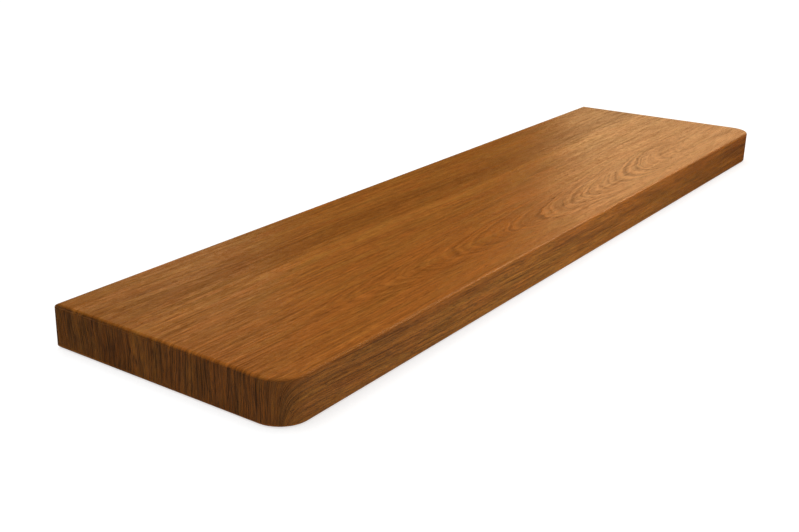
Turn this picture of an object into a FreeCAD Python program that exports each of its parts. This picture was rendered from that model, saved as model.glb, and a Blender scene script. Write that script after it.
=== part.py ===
"""Window sill board: one plank of solid oak with two rounded front corners and eased edges.

The board lies on its underside. X runs along its length, -Y is the room side with the two rounded
corners, +Y is the straight edge that meets the window frame, and Z is up. The origin is the middle
of the underside. A round-over runs round the top and the underside, and the two upright back corners
are left square. All sizes are in millimetres.
"""
import FreeCAD, Part
import math
import os

import Sketcher

# Driving dimensions
SIZES = {
    "length": 1000.0,         # along the window
    "depth": 250.0,           # from the window frame to the front edge
    "thickness": 40.0,        # of the planed plank
    "corner_radius": 27.0,    # of the two front corners, in plan
    "edge_radius": 3.0,       # of the round-over round the top and the underside
}

# How far two heights may differ and still be the same level
LEVEL_TOLERANCE = 1e-4

# The plan outline's segments, in the order they are drawn
FRONT, RIGHT_CORNER, RIGHT, BACK, LEFT, LEFT_CORNER = range(6)

# What a constraint calls a segment's start and end, and the sketch's own origin
START, END = 1, 2
ORIGIN = (-1, 1)


def add_size_sheet(doc):
    """Put each driving dimension in a cell of the sheet, under its own name."""
    sheet = doc.addObject("Spreadsheet::Sheet", "sizes")
    for row, (name, value) in enumerate(SIZES.items(), start=1):
        sheet.set(f"A{row}", name)
        sheet.set(f"B{row}", str(value))
        sheet.setAlias(f"B{row}", name)
    doc.recompute()
    return sheet


def origin_plane(body, role):
    """Find one of the body's own origin planes by its role."""
    return next(plane for plane in body.Origin.OriginFeatures if plane.Role == role)


def draw_outline(sketch, sheet):
    """Draw the board's plan: square at the back, with an arc at each front corner."""
    half_length = sheet.length / 2
    half_depth = sheet.depth / 2
    radius = sheet.corner_radius
    arc_x = half_length - radius
    arc_y = radius - half_depth

    def point(x, y):
        return FreeCAD.Vector(x, y, 0)

    def corner(x, y, start):
        circle = Part.Circle(point(x, y), FreeCAD.Vector(0, 0, 1), radius)
        return Part.ArcOfCircle(circle, start, start + math.pi / 2)

    sketch.addGeometry([
        Part.LineSegment(point(-arc_x, -half_depth), point(arc_x, -half_depth)),
        corner(arc_x, arc_y, -math.pi / 2),
        Part.LineSegment(point(half_length, arc_y), point(half_length, half_depth)),
        Part.LineSegment(point(half_length, half_depth), point(-half_length, half_depth)),
        Part.LineSegment(point(-half_length, half_depth), point(-half_length, arc_y)),
        corner(-arc_x, arc_y, -math.pi),
    ], False)

    def tie(kind, *of):
        return sketch.addConstraint(Sketcher.Constraint(kind, *of))

    def size(kind, of, value, expression):
        index = tie(kind, *of, value)
        sketch.setExpression(f"Constraints[{index}]", expression)

    smooth_joins = ((FRONT, RIGHT_CORNER), (RIGHT_CORNER, RIGHT), (LEFT, LEFT_CORNER), (LEFT_CORNER, FRONT))
    square_joins = ((RIGHT, BACK), (BACK, LEFT))
    for before, after in smooth_joins:
        tie("Tangent", before, END, after, START)
    for before, after in square_joins:
        tie("Coincident", before, END, after, START)
    for line in (FRONT, BACK):
        tie("Horizontal", line)
    for line in (RIGHT, LEFT):
        tie("Vertical", line)
    tie("Equal", RIGHT_CORNER, LEFT_CORNER)
    size("Radius", (LEFT_CORNER,), radius, "sizes.corner_radius")
    size("DistanceX", (BACK, END, BACK, START), sheet.length, "sizes.length")
    size("DistanceY", (FRONT, START, BACK, START), sheet.depth, "sizes.depth")
    size("DistanceX", (*ORIGIN, BACK, START), half_length, "sizes.length / 2")
    size("DistanceY", (*ORIGIN, BACK, START), half_depth, "sizes.depth / 2")


def rim_names(shape):
    """Name the level edges, which are the rims of the top and the underside."""
    return [f"Edge{number}" for number, edge in enumerate(shape.Edges, start=1)
            if edge.BoundBox.ZLength < LEVEL_TOLERANCE]


def build_board(doc, sheet):
    """Saw the plank to its plan, at its thickness, and round over the rims of its two faces."""
    body = doc.addObject("PartDesign::Body", "sill_board")
    body.Label = "sill_board"
    outline = body.newObject("Sketcher::SketchObject", "plan_outline")
    outline.AttachmentSupport = [(origin_plane(body, "XY_Plane"), "")]
    outline.MapMode = "FlatFace"
    draw_outline(outline, sheet)
    doc.recompute()

    plank = body.newObject("PartDesign::Pad", "plank")
    plank.Profile = outline
    plank.setExpression("Length", "sizes.thickness")
    doc.recompute()

    easing = body.newObject("PartDesign::Fillet", "eased_edges")
    easing.Base = (plank, rim_names(plank.Shape))
    easing.setExpression("Radius", "sizes.edge_radius")
    doc.recompute()
    return body


def check(doc, bodies):
    """Stop with a plain message if anything failed to build."""
    for item in doc.Objects:
        if "Invalid" in item.State or "Error" in item.State:
            raise RuntimeError(f"{item.Name} did not build: {item.State}")
    for body in bodies:
        if body.Shape.isNull() or not body.Shape.isValid():
            raise RuntimeError(f"{body.Label} has no valid shape")


def write(bodies):
    """Write each piece to its own file and say what it measures."""
    os.makedirs("parts", exist_ok=True)
    for body in bodies:
        body.Shape.exportStep(f"parts/{body.Label}.step")
        box = body.Shape.optimalBoundingBox()
        print(f"{body.Label}: {box.XLength:.2f} x {box.YLength:.2f} x {box.ZLength:.2f} mm,"
              f" {body.Shape.Volume / 1e6:.4f} litres, {len(body.Shape.Solids)} solid")


document = FreeCAD.newDocument("window_sill_board")
size_sheet = add_size_sheet(document)
pieces = [build_board(document, size_sheet)]
check(document, pieces)
write(pieces)
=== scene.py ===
"""A window sill board of solid oak, oiled golden brown, on a pale studio floor.

The board is one plank. X runs along its length, -Y is the room side with the two rounded corners,
+Y is the straight edge that meets the window frame, and Z is up. Lengths are in metres unless a name
ends in _mm.
"""
from __future__ import annotations

import logging
import math
from dataclasses import dataclass
from enum import Enum
from typing import Any

import bpy
from mathutils import Matrix, Vector

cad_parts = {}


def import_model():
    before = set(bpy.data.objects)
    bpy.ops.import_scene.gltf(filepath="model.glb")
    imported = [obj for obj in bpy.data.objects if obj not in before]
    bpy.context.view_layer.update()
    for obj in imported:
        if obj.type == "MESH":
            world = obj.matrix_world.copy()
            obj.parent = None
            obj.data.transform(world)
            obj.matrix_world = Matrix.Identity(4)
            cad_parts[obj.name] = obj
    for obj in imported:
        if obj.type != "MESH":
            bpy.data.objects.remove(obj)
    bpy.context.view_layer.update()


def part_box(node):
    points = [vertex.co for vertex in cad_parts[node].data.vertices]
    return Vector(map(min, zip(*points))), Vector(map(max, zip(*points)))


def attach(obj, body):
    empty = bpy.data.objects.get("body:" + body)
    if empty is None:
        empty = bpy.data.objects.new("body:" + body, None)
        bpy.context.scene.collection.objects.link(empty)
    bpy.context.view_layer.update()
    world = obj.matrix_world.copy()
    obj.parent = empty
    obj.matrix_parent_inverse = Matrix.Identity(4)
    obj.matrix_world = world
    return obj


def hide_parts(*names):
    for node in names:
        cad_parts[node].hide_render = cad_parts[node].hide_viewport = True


log = logging.getLogger("window_sill_board")

Tree = bpy.types.NodeTree
Node = bpy.types.Node
Socket = bpy.types.NodeSocket
Point = tuple[float, float, float]
Pair = tuple[float, float]

BOARD_NODE = "sill_board"
BOARD_BODY = "root"

MM = 0.001

# The width of the picture that the camera frames, in pixels
PICTURE_WIDTH_PX = 799

# Where the colour version of a Mix node keeps its sockets
MIX_FACTOR, MIX_A, MIX_B, MIX_RESULT = 0, 6, 7, 2


def linear(hex_colour: str) -> tuple[float, float, float, float]:
    """Turn an sRGB hex colour into linear red, green, blue and a full alpha."""
    channels = [int(hex_colour[start:start + 2], 16) / 255 for start in (1, 3, 5)]
    red, green, blue = (c / 12.92 if c <= 0.04045 else ((c + 0.055) / 1.055) ** 2.4 for c in channels)
    return red, green, blue, 1.0


def add_node(tree: Tree, kind: str, feeds: dict[Any, Any] | None = None, **settings: Any) -> Node:
    """Add one node to a tree, with its settings and what goes into it.

    Args:
        tree: The tree that gets the node.
        kind: The node's type.
        feeds: What each input takes, by the input's name or number: another node's output, or a value.
        **settings: The node's own properties.

    Returns:
        The new node.
    """
    node = tree.nodes.new(kind)
    for name, value in settings.items():
        setattr(node, name, value)
    for key, value in (feeds or {}).items():
        if isinstance(value, Socket):
            tree.links.new(value, node.inputs[key])
        else:
            node.inputs[key].default_value = value
    return node


class Side(Enum):
    """A side of the board: the axis it faces, which way, and its share of the bake map.

    The share is given as left, low, right and high.
    """

    TOP = (2, 1, (0.0, 0.46, 1.0, 1.0))
    UNDERSIDE = (2, -1, (0.0, 0.2, 1.0, 0.455))
    FRONT = (1, -1, (0.0, 0.105, 1.0, 0.195))
    BACK = (1, 1, (0.0, 0.055, 1.0, 0.1))
    NEAR_END = (0, -1, (0.0, 0.0, 0.495, 0.05))
    FAR_END = (0, 1, (0.505, 0.0, 1.0, 0.05))

    @classmethod
    def facing(cls, normal: Vector) -> Side:
        """Find the side that a face with this normal belongs to."""
        axis = max(range(3), key=lambda number: abs(normal[number]))
        sign = 1 if normal[axis] > 0 else -1
        return next(side for side in cls if side.value[:2] == (axis, sign))


@dataclass(frozen=True)
class Mark:
    """One size of mark in the wood: its length along the fibre, its width, and how strongly it tells.

    The detail is how many finer layers of marks it carries.
    """

    along_mm: float
    across_mm: float
    detail: float = 2.0
    strength: float = 1.0


@dataclass(frozen=True)
class Streak:
    """A streak along the whole board: where across it starts, is full, is full to and stops."""

    start_mm: float
    full_mm: float
    full_to_mm: float
    stop_mm: float
    strength: float


@dataclass(frozen=True)
class OiledOak:
    """Flat-sawn oak, planed, sanded and oiled.

    The oil gives the eye a warm golden brown with a soft satin sheen. The growth rings show as nested
    arches along one line of the face, with straight fine fibre beside them, the open pores as short dark
    dashes and long fine lines, and broad stripes of darker and paler wood run from end to end. A dark band
    along the front just under its rounded rim is painted shade. The sides carry the face's lines on over
    the edges, and the ends, which drink more oil, are darker.
    """

    name: str = "oak_planed_and_oiled"

    # Colours of the wood and its pores, and the tints of the ends and of the oil's sheen
    dark_wood: str = "#743F11"
    pale_wood: str = "#B17532"
    ruddy_wood: str = "#B76D2E"
    pore: str = "#4E2A0C"
    end_tint: str = "#CBC8B8"
    sheen: str = "#F6D2A4"

    # Gloss and relief: the roughness of the dark and of the pale wood, and what pores add to it
    ior: float = 1.5
    roughness: Pair = (0.3, 0.2)
    pore_roughness: float = 0.5
    relief: float = 0.2 * MM
    relief_strength: float = 0.5

    # Over the edges: how much of a rounded rim counts as face, how late the end's tint sets in, and how
    # steeply the lines of the front lean on its near part
    rim_lift: float = 3.0
    end_power: float = 1.5
    lean: float = 0.03
    lean_before_mm: float = -150.0

    # What all the marks share: how rough their noise is, and how thick they are through the wood
    noise_roughness: float = 0.6
    through_mm: float = 50.0

    # Gentle bends of the fibre, and how far they move it
    bends: Mark = Mark(260, 60, detail=0)
    bend_mm: float = 10.0

    # Straight fibre, broad bands, the stripes of darker and paler wood in order from the back to the front,
    # the last of them painted shade just under the front rim, and the darker ends
    fibre: tuple[Mark, ...] = (
        Mark(16, 1.4, detail=3, strength=1.2),
        Mark(4, 1.7, detail=1, strength=0.4),
        Mark(60, 1.6, strength=0.75),
        Mark(160, 3, strength=0.8),
    )
    bands: Mark = Mark(1500, 28, detail=1, strength=0.5)
    streaks_and_painted_shade: tuple[Streak, ...] = (
        Streak(36, 42, 64, 86, strength=-0.18),
        Streak(16, 24, 33, 38, strength=0.12),
        Streak(-70, -50, -15, 10, strength=0.06),
        Streak(-126, -121, -112, -98, strength=0.14),
        # Painted shade: a darker band on the front face just under its rounded rim
        Streak(-141, -134, -130, -126, strength=-0.08),
    )
    end_fade_mm: Pair = (380.0, 500.0)
    end_paleness: float = -0.08
    base_paleness: float = 0.295

    # Ruddy patches, with more of them on the front half of the face
    ruddy_patches: Mark = Mark(60, 9)
    ruddy_streak: Streak = Streak(-136, -126, -90, 60, strength=0.2)
    ruddy_levels: Pair = (0.36, 0.74)

    # Pores: their marks, between which levels of the noise they open, how open they get, how much they
    # gather in the dark rings, and how deep they are on the ends, on the long sides and on the face
    dashes: Mark = Mark(10, 1.0, detail=1)
    dash_levels: Pair = (0.54, 0.74)
    lines: Mark = Mark(90, 0.9, detail=1)
    line_levels: Pair = (0.48, 0.68)
    pore_opening: float = 0.5
    pore_gathering: float = 0.5
    pore_depths: Point = (2.0, 1.5, 1.15)

    # The heart line's near and far points, and the arches' width behind it there, their width before it,
    # their length, how pointed they are and how far apart
    heart_from_mm: Pair = (-400.0, -53.0)
    heart_to_mm: Pair = (0.0, -83.0)
    arch_back_mm: Pair = (17.0, 29.0)
    arch_front_mm: float = 21.0
    arch_length_mm: float = 80.0
    arch_power: float = 2.2
    arch_apart_mm: float = 14.0

    # What moves the arches out of true, with strengths in millimetres
    sweeps: Mark = Mark(120, 30, strength=45.0)
    waves: Mark = Mark(20, 9, strength=14.0)

    # The growth rings in the arches: the noise's detail and levels, what these give, and how it tells
    ring_detail: float = 2.0
    ring_levels: Pair = (0.37, 0.63)
    ring_tones: Pair = (-0.55, 0.45)
    ring_strength: float = 0.58

    # Where the arches fade: in widths from the heart line, then along the board at its near and far part,
    # and how much of the straight fibre they take away
    arch_reach: Pair = (2.7, 1.0)
    near_fade_mm: Pair = (-430.0, -80.0)
    near_fade_to: float = 0.15
    far_fade_mm: Pair = (380.0, 260.0)
    fibre_loss: float = 0.28

    def material(self, thickness: float) -> bpy.types.Material:
        """Make the material.

        Args:
            thickness: The board's, so that the sides can carry the face's figure on.

        Returns:
            The material, with its nodes.
        """
        material = bpy.data.materials.new(self.name)
        material.use_nodes = True
        tree = material.node_tree
        tree.nodes.clear()
        place, facing = self.unfolded(tree, thickness)
        side = add_node(tree, "ShaderNodeSeparateXYZ", {0: facing})
        bent = self.bent(tree, place, side)
        axes = add_node(tree, "ShaderNodeSeparateXYZ", {0: bent})
        rings, fibre_share = self.arches(tree, place, axes)
        pores = self.pores(tree, bent, facing, rings, fibre_share)
        paleness = self.paleness(tree, bent, axes, rings, fibre_share)
        wood = self.wood(tree, bent, axes, paleness)

        pored = add_node(tree, "ShaderNodeMix", {
            MIX_FACTOR: pores, MIX_A: wood, MIX_B: linear(self.pore)}, data_type="RGBA")
        steep = add_node(tree, "ShaderNodeMath", {0: side.outputs["X"]}, operation="ABSOLUTE")
        end_share = add_node(tree, "ShaderNodeMath", {0: steep.outputs[0], 1: self.end_power},
                             operation="POWER")
        colour = add_node(tree, "ShaderNodeMix", {
            MIX_FACTOR: end_share.outputs[0], MIX_A: pored.outputs[MIX_RESULT],
            MIX_B: linear(self.end_tint)}, data_type="RGBA", blend_type="MULTIPLY")
        gloss = add_node(tree, "ShaderNodeMapRange", {
            "Value": paleness, "To Min": self.roughness[0], "To Max": self.roughness[1]})
        roughness = add_node(tree, "ShaderNodeMath", {
            0: pores, 1: self.pore_roughness, 2: gloss.outputs[0]}, operation="MULTIPLY_ADD")
        height = add_node(tree, "ShaderNodeMath", {0: paleness, 1: pores}, operation="SUBTRACT")
        bump = add_node(tree, "ShaderNodeBump", {
            "Strength": self.relief_strength, "Distance": self.relief, "Height": height.outputs[0]})
        shader = add_node(tree, "ShaderNodeBsdfPrincipled", {
            "Base Color": colour.outputs[MIX_RESULT], "Roughness": roughness.outputs[0], "IOR": self.ior,
            "Specular Tint": linear(self.sheen), "Normal": bump.outputs[0]})
        add_node(tree, "ShaderNodeOutputMaterial", {"Surface": shader.outputs[0]})
        return material

    def unfolded(self, tree: Tree, thickness: float) -> tuple[Socket, Socket]:
        """Lay the board's sides out flat round its top, so that the face's lines run on over the edges.

        Args:
            tree: The material's tree.
            thickness: The board's.

        Returns:
            The place on the laid-out sheet in millimetres, and the way the surface faces, where most of a
            rounded rim counts as face.
        """
        coordinates = add_node(tree, "ShaderNodeTexCoord")
        place = add_node(tree, "ShaderNodeVectorMath", {
            0: coordinates.outputs["Object"], "Scale": 1 / MM}, operation="SCALE")
        axes = add_node(tree, "ShaderNodeSeparateXYZ", {0: place.outputs[0]})
        drop = add_node(tree, "ShaderNodeMath", {0: thickness / MM, 1: axes.outputs["Z"]},
                        operation="SUBTRACT")
        facing = coordinates.outputs["Normal"]
        level = add_node(tree, "ShaderNodeVectorMath", {0: facing, 1: (1, 1, 0)}, operation="MULTIPLY")
        # Cubed, the way outward stays close to square to a side until near the middle of a corner
        squared = add_node(tree, "ShaderNodeVectorMath", {0: level.outputs[0], 1: level.outputs[0]},
                           operation="MULTIPLY")
        cubed = add_node(tree, "ShaderNodeVectorMath", {0: squared.outputs[0], 1: level.outputs[0]},
                         operation="MULTIPLY")
        outward = add_node(tree, "ShaderNodeVectorMath", {0: cubed.outputs[0]}, operation="NORMALIZE")
        spread = add_node(tree, "ShaderNodeVectorMath", {
            0: outward.outputs[0], 1: drop.outputs[0], 2: place.outputs[0]}, operation="MULTIPLY_ADD")
        lifted = add_node(tree, "ShaderNodeVectorMath", {0: facing, 1: (1, 1, self.rim_lift)},
                          operation="MULTIPLY")
        upward = add_node(tree, "ShaderNodeVectorMath", {0: lifted.outputs[0]}, operation="NORMALIZE")
        return spread.outputs[0], upward.outputs[0]

    def stretched(self, tree: Tree, place: Socket, mark: Mark) -> Socket:
        """Make noise drawn out along the fibre.

        Args:
            tree: The material's tree.
            place: The place on the laid-out sheet.
            mark: The size of the marks, and their detail.

        Returns:
            The noise, about 0 to 1.
        """
        scales = (1 / mark.along_mm, 1 / mark.across_mm, 1 / self.through_mm)
        scaled = add_node(tree, "ShaderNodeVectorMath", {0: place, 1: scales}, operation="MULTIPLY")
        noise = add_node(tree, "ShaderNodeTexNoise", {
            "Vector": scaled.outputs[0], "Scale": 1.0, "Detail": mark.detail,
            "Roughness": self.noise_roughness})
        return noise.outputs[0]

    def bent(self, tree: Tree, place: Socket, side: Node) -> Socket:
        """Bend the fibre gently from side to side on its way along the board.

        Args:
            tree: The material's tree.
            place: The place on the laid-out sheet.
            side: The way the surface faces, split into its axes.

        Returns:
            The place, moved with the bends, and on the front with the lean of its near part.
        """
        bend = self.stretched(tree, place, self.bends)
        bent = add_node(tree, "ShaderNodeVectorMath", {0: bend, 1: (0, self.bend_mm, 0), 2: place},
                        operation="MULTIPLY_ADD")
        axes = add_node(tree, "ShaderNodeSeparateXYZ", {0: place})
        before = add_node(tree, "ShaderNodeMath", {0: axes.outputs["X"], 1: self.lean_before_mm},
                          operation="SUBTRACT")
        near = add_node(tree, "ShaderNodeMath", {0: before.outputs[0], 1: 0.0}, operation="MINIMUM")
        front = add_node(tree, "ShaderNodeMath", {0: side.outputs["Y"], 1: 0.0}, operation="MINIMUM")
        lean = add_node(tree, "ShaderNodeMath", {0: near.outputs[0], 1: front.outputs[0]},
                        operation="MULTIPLY")
        leant = add_node(tree, "ShaderNodeVectorMath", {
            0: lean.outputs[0], 1: (0, -self.lean, 0), 2: bent.outputs[0]}, operation="MULTIPLY_ADD")
        return leant.outputs[0]

    def pores(self, tree: Tree, bent: Socket, facing: Socket, rings: Socket, fibre_share: Socket) -> Socket:
        """Draw the open pores, as short dashes and as long lines along the fibre.

        Oak's pores gather in the dark part of each growth ring. They are deeper on the sides than on the
        face.

        A real pore is about 0.3 mm wide. The marks are drawn three times as wide, because at the picture's
        scale of about a pixel to the millimetre the real ones would not show.

        Args:
            tree: The material's tree.
            bent: The place on the laid-out sheet, moved with the fibre's bends.
            facing: The way the surface faces.
            rings: The growth rings, below 0 in the dark ones and above 0 in the pale ones.
            fibre_share: How strong the straight fibre is.

        Returns:
            How open the wood is: 0 between the pores, up to 1 in the deepest.
        """
        dash = add_node(tree, "ShaderNodeMapRange", {
            "Value": self.stretched(tree, bent, self.dashes), "From Min": self.dash_levels[0],
            "From Max": self.dash_levels[1], "To Max": self.pore_opening})
        line = add_node(tree, "ShaderNodeMapRange", {
            "Value": self.stretched(tree, bent, self.lines), "From Min": self.line_levels[0],
            "From Max": self.line_levels[1], "To Max": self.pore_opening})
        drawn = add_node(tree, "ShaderNodeMath", {0: line.outputs[0], 1: fibre_share}, operation="MULTIPLY")
        both = add_node(tree, "ShaderNodeMath", {0: dash.outputs[0], 1: drawn.outputs[0]},
                        operation="MAXIMUM")
        shares = add_node(tree, "ShaderNodeVectorMath", {0: facing, 1: facing}, operation="MULTIPLY")
        depth = add_node(tree, "ShaderNodeVectorMath", {0: shares.outputs[0], 1: self.pore_depths},
                         operation="DOT_PRODUCT")
        gathered = add_node(tree, "ShaderNodeMath", {0: rings, 1: -self.pore_gathering, 2: 1.0},
                            operation="MULTIPLY_ADD")
        marks = add_node(tree, "ShaderNodeMath", {0: both.outputs[0], 1: gathered.outputs[0]},
                         operation="MULTIPLY")
        deep = add_node(tree, "ShaderNodeMath", {0: marks.outputs[0], 1: depth.outputs["Value"]},
                        operation="MULTIPLY", use_clamp=True)
        return deep.outputs[0]

    def paleness(self, tree: Tree, bent: Socket, axes: Node, rings: Socket, fibre_share: Socket) -> Socket:
        """Add up what makes the wood paler or darker.

        Args:
            tree: The material's tree.
            bent: The place on the laid-out sheet, moved with the fibre's bends.
            axes: The bent place, split into its axes.
            rings: The growth rings, below 0 in the dark ones and above 0 in the pale ones.
            fibre_share: How strong the straight fibre is.

        Returns:
            How pale the wood is, from 0 for the dark wood to 1 for the pale.
        """
        # The base takes off half of what the marks add, so that the fibre darkens as much as it lightens
        fibre = self.summed(tree, [
            (self.stretched(tree, bent, mark), mark.strength) for mark in self.fibre
        ], base=-sum(mark.strength for mark in self.fibre) / 2)
        shown = add_node(tree, "ShaderNodeMath", {0: fibre.outputs[0], 1: fibre_share},
                         operation="MULTIPLY")
        off_middle = add_node(tree, "ShaderNodeMath", {0: axes.outputs["X"]}, operation="ABSOLUTE")
        by_ends = add_node(tree, "ShaderNodeMapRange", {
            "Value": off_middle.outputs[0], "From Min": self.end_fade_mm[0],
            "From Max": self.end_fade_mm[1]})
        total = self.summed(tree, [
            (shown.outputs[0], 1.0),
            (self.stretched(tree, bent, self.bands), self.bands.strength),
            (rings, self.ring_strength),
            *((self.streak(tree, axes, streak), streak.strength) for streak in self.streaks_and_painted_shade),
            (by_ends.outputs[0], self.end_paleness),
        ], base=self.base_paleness)
        total.use_clamp = True
        return total.outputs[0]

    def wood(self, tree: Tree, bent: Socket, axes: Node, paleness: Socket) -> Socket:
        """Colour the wood between its pores.

        Args:
            tree: The material's tree.
            bent: The place on the laid-out sheet, moved with the fibre's bends.
            axes: The bent place, split into its axes.
            paleness: How pale the wood is.

        Returns:
            The colour, from the dark wood to the pale, which is golden or ruddy.
        """
        patches = self.stretched(tree, bent, self.ruddy_patches)
        forward = add_node(tree, "ShaderNodeMath", {
            0: self.streak(tree, axes, self.ruddy_streak), 1: self.ruddy_streak.strength, 2: patches},
            operation="MULTIPLY_ADD")
        ruddy = add_node(tree, "ShaderNodeMapRange", {
            "Value": forward.outputs[0], "From Min": self.ruddy_levels[0],
            "From Max": self.ruddy_levels[1]})
        pale = add_node(tree, "ShaderNodeMix", {
            MIX_FACTOR: ruddy.outputs[0], MIX_A: linear(self.pale_wood), MIX_B: linear(self.ruddy_wood)},
            data_type="RGBA")
        wood = add_node(tree, "ShaderNodeMix", {
            MIX_FACTOR: paleness, MIX_A: linear(self.dark_wood), MIX_B: pale.outputs[MIX_RESULT]},
            data_type="RGBA")
        return wood.outputs[MIX_RESULT]

    def summed(self, tree: Tree, marks: list[tuple[Socket, float]], base: float) -> Node:
        """Add marks up, each with its own strength.

        Args:
            tree: The material's tree.
            marks: Each mark and its strength.
            base: What they are added to.

        Returns:
            The node that gives the sum.
        """
        (mark, strength), *others = marks
        total = add_node(tree, "ShaderNodeMath", {0: mark, 1: strength, 2: base}, operation="MULTIPLY_ADD")
        for mark, strength in others:
            total = add_node(tree, "ShaderNodeMath", {0: mark, 1: strength, 2: total.outputs[0]},
                             operation="MULTIPLY_ADD")
        return total

    def streak(self, tree: Tree, axes: Node, streak: Streak) -> Socket:
        """Run a streak along the whole board.

        Args:
            tree: The material's tree.
            axes: The place on the laid-out sheet, split into its axes.
            streak: Where across the board it lies.

        Returns:
            How full the streak is, 0 to 1.
        """
        rise = add_node(tree, "ShaderNodeMapRange", {
            "Value": axes.outputs["Y"], "From Min": streak.start_mm, "From Max": streak.full_mm},
            interpolation_type="SMOOTHSTEP")
        fall = add_node(tree, "ShaderNodeMapRange", {
            "Value": axes.outputs["Y"], "From Min": streak.stop_mm, "From Max": streak.full_to_mm},
            interpolation_type="SMOOTHSTEP")
        both = add_node(tree, "ShaderNodeMath", {0: rise.outputs[0], 1: fall.outputs[0]},
                        operation="MULTIPLY")
        return both.outputs[0]

    def arches(self, tree: Tree, place: Socket, axes: Node) -> tuple[Socket, Socket]:
        """Draw the growth rings where the saw cut them flattest: nested arches along the heart line.

        Args:
            tree: The material's tree.
            place: The place on the laid-out sheet.
            axes: The bent place, split into its axes.

        Returns:
            The rings, below 0 in the dark ones, above 0 in the pale ones and 0 away from the arches, and
            how strong the straight fibre is: 1 away from the arches and less among them.
        """
        along = axes.outputs["X"]
        (near_x, near_y), (far_x, far_y) = self.heart_from_mm, self.heart_to_mm
        heart = add_node(tree, "ShaderNodeMapRange", {
            "Value": along, "From Min": near_x, "From Max": far_x, "To Min": near_y, "To Max": far_y})
        off = add_node(tree, "ShaderNodeMath", {0: axes.outputs["Y"], 1: heart.outputs[0]},
                       operation="SUBTRACT")
        back_width = add_node(tree, "ShaderNodeMapRange", {
            "Value": along, "From Min": near_x, "From Max": far_x, "To Min": self.arch_back_mm[0],
            "To Max": self.arch_back_mm[1]})
        back = add_node(tree, "ShaderNodeMath", {0: off.outputs[0], 1: back_width.outputs[0]},
                        operation="DIVIDE")
        front = add_node(tree, "ShaderNodeMath", {0: off.outputs[0], 1: -1 / self.arch_front_mm},
                         operation="MULTIPLY")
        width = add_node(tree, "ShaderNodeMath", {0: back.outputs[0], 1: front.outputs[0]},
                         operation="MAXIMUM")
        shape = add_node(tree, "ShaderNodeMath", {0: width.outputs[0], 1: self.arch_power},
                         operation="POWER")
        arch = add_node(tree, "ShaderNodeMath", {0: shape.outputs[0], 1: -self.arch_length_mm, 2: along},
                        operation="MULTIPLY_ADD")
        for mark in (self.sweeps, self.waves):
            arch = add_node(tree, "ShaderNodeMath", {
                0: self.stretched(tree, place, mark), 1: mark.strength, 2: arch.outputs[0]},
                operation="MULTIPLY_ADD")
        year = add_node(tree, "ShaderNodeMath", {0: arch.outputs[0], 1: 1 / self.arch_apart_mm},
                        operation="MULTIPLY")
        growth = add_node(tree, "ShaderNodeTexNoise", {
            "W": year.outputs[0], "Scale": 1.0, "Detail": self.ring_detail,
            "Roughness": self.noise_roughness}, noise_dimensions="1D")
        tones = add_node(tree, "ShaderNodeMapRange", {
            "Value": growth.outputs[0], "From Min": self.ring_levels[0], "From Max": self.ring_levels[1],
            "To Min": self.ring_tones[0], "To Max": self.ring_tones[1]})

        among = add_node(tree, "ShaderNodeMapRange", {
            "Value": width.outputs[0], "From Min": self.arch_reach[0], "From Max": self.arch_reach[1]})
        near_fade = add_node(tree, "ShaderNodeMapRange", {
            "Value": along, "From Min": self.near_fade_mm[0], "From Max": self.near_fade_mm[1],
            "To Min": self.near_fade_to})
        far_fade = add_node(tree, "ShaderNodeMapRange", {
            "Value": along, "From Min": self.far_fade_mm[0], "From Max": self.far_fade_mm[1]})
        for fade in (near_fade, far_fade):
            among = add_node(tree, "ShaderNodeMath", {0: among.outputs[0], 1: fade.outputs[0]},
                             operation="MULTIPLY")
        rings = add_node(tree, "ShaderNodeMath", {0: tones.outputs[0], 1: among.outputs[0]},
                         operation="MULTIPLY")
        fibre_share = add_node(tree, "ShaderNodeMath", {0: among.outputs[0], 1: -self.fibre_loss, 2: 1.0},
                               operation="MULTIPLY_ADD")
        return rings.outputs[0], fibre_share.outputs[0]


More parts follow.
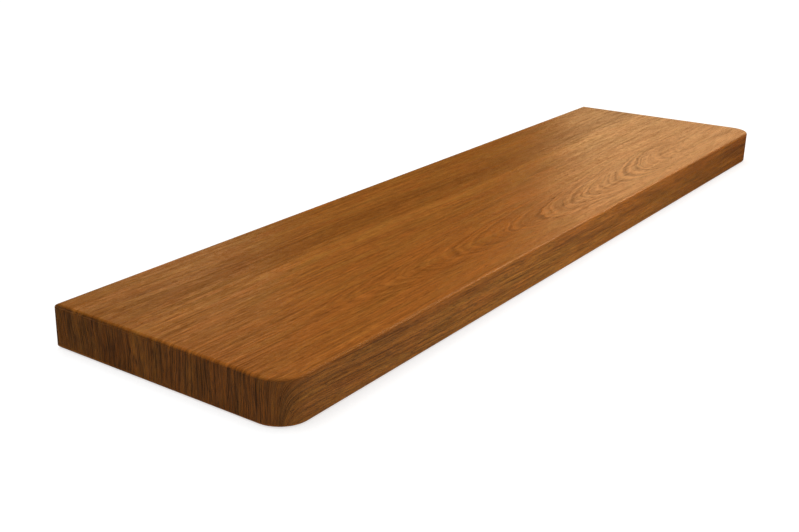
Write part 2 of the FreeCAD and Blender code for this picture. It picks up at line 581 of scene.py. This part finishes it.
@dataclass
class SillBoard:
    """The board: a plank with two rounded front corners, and rounded rims to its top and underside."""

    length: float
    depth: float
    thickness: float
    corner_radius: float = 27 * MM
    edge_radius: float = 3 * MM
    corner_steps: int = 24
    edge_steps: int = 6
    sharp_angle_deg: float = 40.0
    weld: float = 0.01 * MM

    @classmethod
    def from_frame(cls) -> SillBoard:
        """Take the board's overall sizes from its solid."""
        low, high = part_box(BOARD_NODE)
        return cls(*(high[axis] - low[axis] for axis in range(3)))

    def build(self, oak: bpy.types.Material) -> bpy.types.Object:
        """Make the board as one plain mesh.

        Args:
            oak: The finish it wears.

        Returns:
            The board's object, at the origin.
        """
        board = bpy.data.objects.new("oak_board", bpy.data.meshes.new("oak_board"))
        bpy.context.scene.collection.objects.link(board)
        self.saw(board, oak)
        self.ease(board)
        graph = bpy.context.evaluated_depsgraph_get()
        graph.update()
        mesh = bpy.data.meshes.new_from_object(board.evaluated_get(graph), preserve_all_data_layers=True,
                                               depsgraph=graph)
        board.modifiers.clear()
        board.data = mesh
        self.lay_out_bake_map(mesh)
        return board

    def saw(self, board: bpy.types.Object, oak: bpy.types.Material) -> None:
        """Give the board its plan and thickness.

        Args:
            board: The object that gets the plank.
            oak: The finish the plank wears.
        """
        sizes = {"Length": self.length, "Depth": self.depth, "Thickness": self.thickness,
                 "Corner Radius": self.corner_radius}
        tree = bpy.data.node_groups.new("sawn_plank", "GeometryNodeTree")
        inputs = {name: tree.interface.new_socket(name, in_out="INPUT", socket_type="NodeSocketFloat")
                  for name in sizes}
        steps = tree.interface.new_socket("Corner Steps", in_out="INPUT", socket_type="NodeSocketInt")
        finish = tree.interface.new_socket("Finish", in_out="INPUT", socket_type="NodeSocketMaterial")
        tree.interface.new_socket("Plank", in_out="OUTPUT", socket_type="NodeSocketGeometry")

        # The plan, with a radius at its front corners only
        given = add_node(tree, "NodeGroupInput").outputs
        plan = add_node(tree, "GeometryNodeCurvePrimitiveQuadrilateral",
                        {"Width": given["Length"], "Height": given["Depth"]})
        place = add_node(tree, "GeometryNodeInputPosition")
        axes = add_node(tree, "ShaderNodeSeparateXYZ", {0: place.outputs[0]})
        in_front = add_node(tree, "FunctionNodeCompare", {0: axes.outputs["Y"], 1: 0.0}, data_type="FLOAT",
                            operation="LESS_THAN")
        radius = add_node(tree, "GeometryNodeSwitch", {
            "Switch": in_front.outputs[0], "False": 0.0, "True": given["Corner Radius"]},
            input_type="FLOAT")
        rounded = add_node(tree, "GeometryNodeFilletCurve", {
            "Curve": plan.outputs[0], "Radius": radius.outputs[0], "Count": given["Corner Steps"]},
            mode="POLY")

        # The plank: the plan raised to its thickness, and closed below
        underside = add_node(tree, "GeometryNodeFillCurve", {0: rounded.outputs[0]}, mode="NGONS")
        up = add_node(tree, "ShaderNodeCombineXYZ", {"Z": given["Thickness"]})
        plank = add_node(tree, "GeometryNodeExtrudeMesh", {
            "Mesh": underside.outputs[0], "Offset": up.outputs[0]}, mode="FACES")
        turned = add_node(tree, "GeometryNodeFlipFaces", {0: underside.outputs[0]})
        both = add_node(tree, "GeometryNodeJoinGeometry", {0: plank.outputs[0]})
        tree.links.new(turned.outputs[0], both.inputs[0])
        closed = add_node(tree, "GeometryNodeMergeByDistance", {
            "Geometry": both.outputs[0], "Distance": self.weld})
        smooth = add_node(tree, "GeometryNodeSetShadeSmooth", {"Geometry": closed.outputs[0]})

        # The level rims, marked for the round-over, and the upright back corners, which stay crisp
        ends = add_node(tree, "GeometryNodeInputMeshEdgeVertices")
        run = add_node(tree, "ShaderNodeVectorMath", {
            0: ends.outputs["Position 1"], 1: ends.outputs["Position 2"]}, operation="SUBTRACT")
        rise = add_node(tree, "ShaderNodeSeparateXYZ", {0: run.outputs[0]})
        is_level = add_node(tree, "FunctionNodeCompare", {
            0: rise.outputs["Z"], 1: 0.0, "Epsilon": self.weld}, data_type="FLOAT", operation="EQUAL")
        rims = add_node(tree, "GeometryNodeStoreNamedAttribute", {
            "Geometry": smooth.outputs[0], "Name": "bevel_weight_edge", "Value": is_level.outputs[0]},
            data_type="FLOAT", domain="EDGE")
        turn = add_node(tree, "GeometryNodeInputMeshEdgeAngle")
        is_sharp = add_node(tree, "FunctionNodeCompare", {
            0: turn.outputs[0], 1: math.radians(self.sharp_angle_deg)}, data_type="FLOAT",
            operation="GREATER_THAN")
        is_corner = add_node(tree, "FunctionNodeBooleanMath", {
            0: is_sharp.outputs[0], 1: is_level.outputs[0]}, operation="NIMPLY")
        crisp = add_node(tree, "GeometryNodeSetShadeSmooth", {
            "Geometry": rims.outputs[0], "Selection": is_corner.outputs[0], "Shade Smooth": False},
            domain="EDGE")
        real = add_node(tree, "GeometryNodeRealizeInstances", {0: crisp.outputs[0]})
        dressed = add_node(tree, "GeometryNodeSetMaterial", {
            "Geometry": real.outputs[0], "Material": given["Finish"]})
        add_node(tree, "NodeGroupOutput", {0: dressed.outputs[0]})

        plank_modifier = board.modifiers.new("sawn_plank", "NODES")
        plank_modifier.node_group = tree
        for name, socket in inputs.items():
            plank_modifier[socket.identifier] = sizes[name]
        plank_modifier[steps.identifier] = self.corner_steps
        plank_modifier[finish.identifier] = oak

    def ease(self, board: bpy.types.Object) -> None:
        """Round over the rims of the plank's two faces; its upright back corners stay square.

        Args:
            board: The object that has the plank.
        """
        easing = board.modifiers.new("eased_edges", "BEVEL")
        easing.width = self.edge_radius
        easing.segments = self.edge_steps
        easing.limit_method = "WEIGHT"
        easing.harden_normals = True

    def lay_out_bake_map(self, mesh: bpy.types.Mesh) -> None:
        """Lay each side of the board on its own share of a map, with the most room for the top.

        Args:
            mesh: The finished board's.
        """
        low = Vector((-self.length / 2, -self.depth / 2, 0))
        size = Vector((self.length, self.depth, self.thickness))
        layer = mesh.uv_layers.new(name="OFBake")
        for face in mesh.polygons:
            side = Side.facing(face.normal)
            axis, _, (left, bottom, right, top) = side.value
            across, up = [number for number in range(3) if number != axis]
            for corner in face.loop_indices:
                place = mesh.vertices[mesh.loops[corner].vertex_index].co - low
                layer.uv[corner].vector = (left + (right - left) * place[across] / size[across],
                                           bottom + (top - bottom) * place[up] / size[up])


@dataclass
class Softbox:
    """A soft studio lamp: a lit panel that faces a point."""

    name: str
    place: Point
    faces: Point
    width: float
    height: float
    watts: float
    colour: str
    roll_deg: float = 0.0
    is_mirrored: bool = True

    def build(self) -> None:
        """Hang the lamp, out of the camera's sight."""
        lamp = bpy.data.lights.new(self.name, "AREA")
        lamp.shape = "RECTANGLE"
        lamp.size = self.width
        lamp.size_y = self.height
        lamp.energy = self.watts
        lamp.color = linear(self.colour)[:3]
        panel = bpy.data.objects.new(self.name, lamp)
        way = Vector(self.faces) - Vector(self.place)
        turn = way.to_track_quat("-Z", "Y").to_matrix().to_4x4()
        roll = Matrix.Rotation(math.radians(self.roll_deg), 4, "Z")
        panel.matrix_world = Matrix.Translation(self.place) @ turn @ roll
        panel.visible_camera = False
        panel.visible_glossy = self.is_mirrored
        bpy.context.scene.collection.objects.link(panel)


@dataclass
class LitCeiling:
    """The main light: as even over the whole floor as a large lit ceiling."""

    strength: float = 3.24
    spread_deg: float = 56.0
    comes_from: Point = (0.0, 0.18, 1.0)

    def build(self) -> None:
        """Hang the light, which the oil doesn't mirror."""
        lamp = bpy.data.lights.new("lit_ceiling", "SUN")
        lamp.energy = self.strength
        lamp.angle = math.radians(self.spread_deg)
        ceiling = bpy.data.objects.new("lit_ceiling", lamp)
        ceiling.rotation_euler = Vector(self.comes_from).to_track_quat("Z", "Y").to_euler()
        ceiling.visible_glossy = False
        bpy.context.scene.collection.objects.link(ceiling)


@dataclass
class Studio:
    """A plain white floor that runs on into a white backdrop, under soft light."""

    floor_size: float = 80.0
    floor_gap: float = 0.1 * MM
    floor_colour: str = "#A8A8A8"
    floor_roughness: float = 0.9
    floor_glow: float = 0.68
    white: str = "#FFFFFF"

    def build(self) -> None:
        """Lay the floor, hang the backdrop and light them."""
        self.lay_floor()
        self.hang_backdrop()
        for lamp in self.lamps():
            lamp.build()

    def hang_backdrop(self) -> None:
        """Close the view beyond the floor with white that lights nothing."""
        world = bpy.data.worlds.new("white_backdrop")
        world.use_nodes = True
        glow = next(node for node in world.node_tree.nodes if node.type == "BACKGROUND")
        glow.inputs["Color"].default_value = linear(self.white)
        world.cycles_visibility.diffuse = False
        world.cycles_visibility.glossy = False
        bpy.context.scene.world = world

    def lay_floor(self) -> None:
        """Lay the floor as one large sheet just below the board."""
        half = self.floor_size / 2
        corners = [(-half, -half, 0), (half, -half, 0), (half, half, 0), (-half, half, 0)]
        mesh = bpy.data.meshes.new("studio_floor")
        mesh.from_pydata(corners, [], [(0, 1, 2, 3)])

        # Matt paint, lit a little from within: an even white without gloss, where shadows stay faint
        paint = bpy.data.materials.new("floor_matt_white_paint")
        paint.use_nodes = True
        shader = next(node for node in paint.node_tree.nodes if node.type == "BSDF_PRINCIPLED")
        shader.inputs["Base Color"].default_value = linear(self.floor_colour)
        shader.inputs["Roughness"].default_value = self.floor_roughness
        shader.inputs["Specular IOR Level"].default_value = 0.0
        shader.inputs["Emission Color"].default_value = linear(self.white)
        shader.inputs["Emission Strength"].default_value = self.floor_glow
        mesh.materials.append(paint)

        floor = bpy.data.objects.new("studio_floor", mesh)
        floor.location.z = -self.floor_gap
        floor.visible_glossy = False
        bpy.context.scene.collection.objects.link(floor)

    def lamps(self) -> list[LitCeiling | Softbox]:
        """List the lamps: the ceiling, two that fill the front, and three that the oil mirrors.

        Returns:
            The lamps, not yet hung.
        """
        return [
            LitCeiling(),
            Softbox("front_softbox", place=(0, -0.5, 0.07), faces=(0, -0.125, 0.02),
                    width=0.4, height=0.1, watts=1.07, colour="#E6F2FF", is_mirrored=False),
            Softbox("corner_softbox", place=(0.5, -0.375, 0.05), faces=(0.5, -0.125, 0.02),
                    width=0.1, height=0.1, watts=0.1, colour="#FFC890", is_mirrored=False),
            Softbox("edge_softbox", place=(1.55, -0.65, 1.25), faces=(0, -0.125, 0.04),
                    width=0.22, height=1.2, watts=6.6, colour="#FFE6C8", roll_deg=30),
            Softbox("back_softbox", place=(0.75, 1.35, 0.63), faces=(-0.4, 0.09, 0.04),
                    width=0.6, height=0.3, watts=0.44, colour="#FFF2CC"),
            Softbox("far_softbox", place=(2.0, 0.245, 0.55), faces=(0.3, 0, 0.04),
                    width=1.2, height=1.0, watts=5.05, colour="#FFD9A2", roll_deg=4),
        ]


@dataclass
class PhotoCamera:
    """The camera that takes the photograph's view, shifted sideways as the photograph was cropped."""

    eye: Point = (-1.05327, -0.58632, 0.39305)
    aim: Point = (-0.29371, 0.01084, 0.04)
    focal_px: float = 1127.7
    centre_across_px: float = 314.1
    sensor_mm: float = 36.0
    clip_start: float = 10 * MM

    def build(self) -> None:
        """Set the camera up and make it the scene's."""
        lens = bpy.data.cameras.new("photo_camera")
        lens.sensor_fit = "HORIZONTAL"
        lens.sensor_width = self.sensor_mm
        lens.lens = self.focal_px / PICTURE_WIDTH_PX * self.sensor_mm
        lens.shift_x = (PICTURE_WIDTH_PX / 2 - self.centre_across_px) / PICTURE_WIDTH_PX
        lens.clip_start = self.clip_start
        camera = bpy.data.objects.new("photo_camera", lens)
        way = Vector(self.aim) - Vector(self.eye)
        turn = way.to_track_quat("-Z", "Y").to_matrix().to_4x4()
        camera.matrix_world = Matrix.Translation(self.eye) @ turn
        bpy.context.scene.collection.objects.link(camera)
        bpy.context.scene.camera = camera


def main() -> None:
    """Build the board, the studio and the camera, and log the board's face count."""
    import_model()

    board = SillBoard.from_frame()
    oak = OiledOak().material(board.thickness)
    piece = board.build(oak)
    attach(piece, BOARD_BODY)
    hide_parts(BOARD_NODE)
    log.info("%s: %d faces", piece.name, len(piece.data.polygons))

    Studio().build()
    PhotoCamera().build()
    # The colours are matched to the photograph as plain sRGB, with no film curve
    bpy.context.scene.view_settings.view_transform = "Standard"


if __name__ == "__main__":
    logging.basicConfig(level=logging.INFO, format="%(name)s: %(message)s")
    main()
